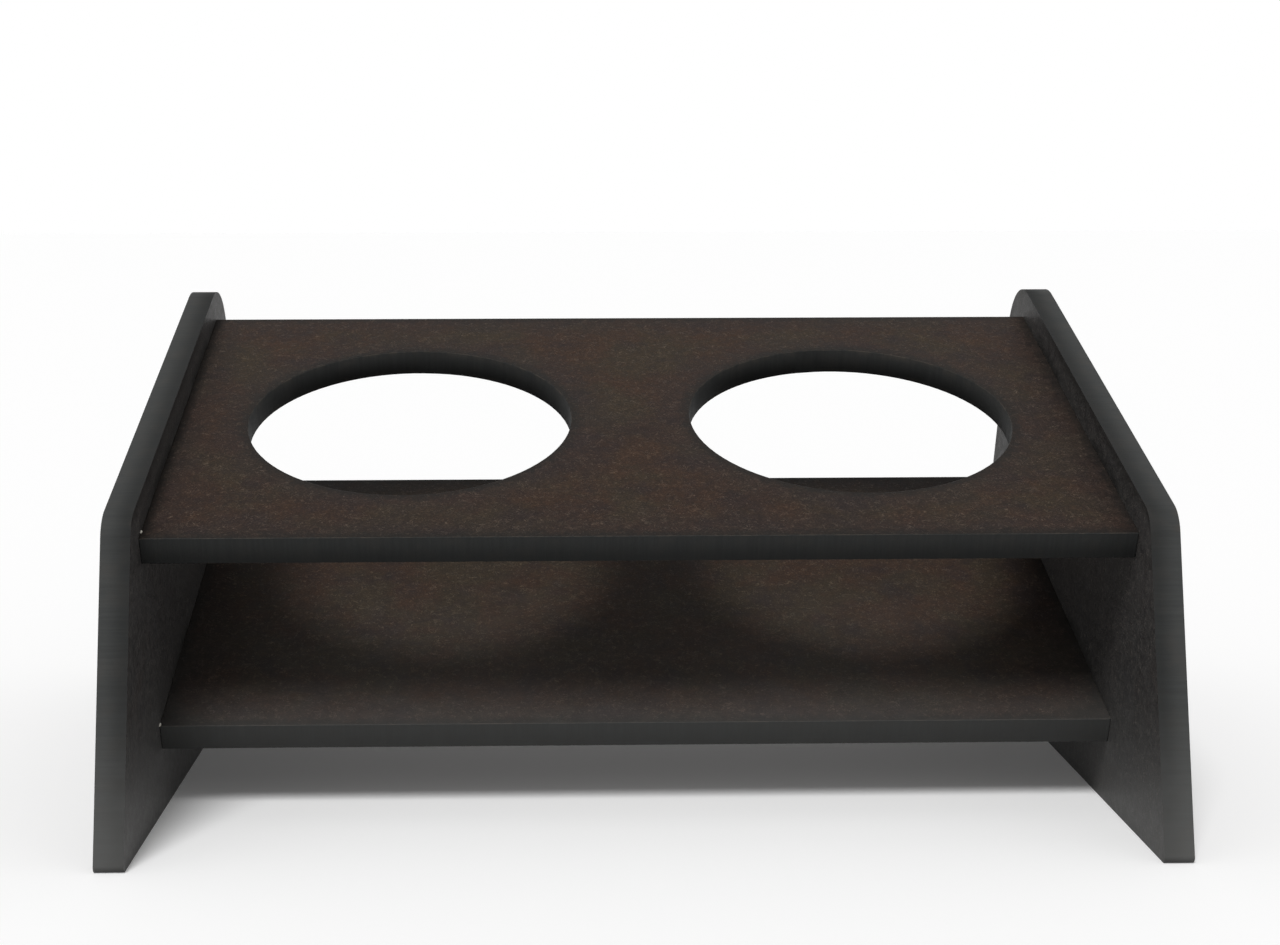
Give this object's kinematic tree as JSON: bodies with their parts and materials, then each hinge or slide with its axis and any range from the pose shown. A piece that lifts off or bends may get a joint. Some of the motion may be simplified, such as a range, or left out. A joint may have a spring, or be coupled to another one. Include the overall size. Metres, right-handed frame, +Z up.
{
  "type": "hobby workstation organizer",
  "caption": "Small tilted desktop rack of thin dark hardboard: leaning end panels carry a holed upper shelf over a plain lower shelf, to hold small round bottles at a slope.",
  "frame": {"origin": "middle of the footprint of the two end panels, on the surface that the rack stands on", "axes": "+X to the user's right along the shelves, +Y from the low front to the high back, +Z up"},
  "size_m": [0.108, 0.0896, 0.054],
  "materials": {
    "hardboard": "matte dark brown hardboard with blackened laser-cut edges"
  },
  "bodies": {
    "root": {"end_panel_left": "hardboard", "end_panel_right": "hardboard", "upper_shelf": "hardboard", "lower_shelf": "hardboard"}
  },
  "joints": []
}
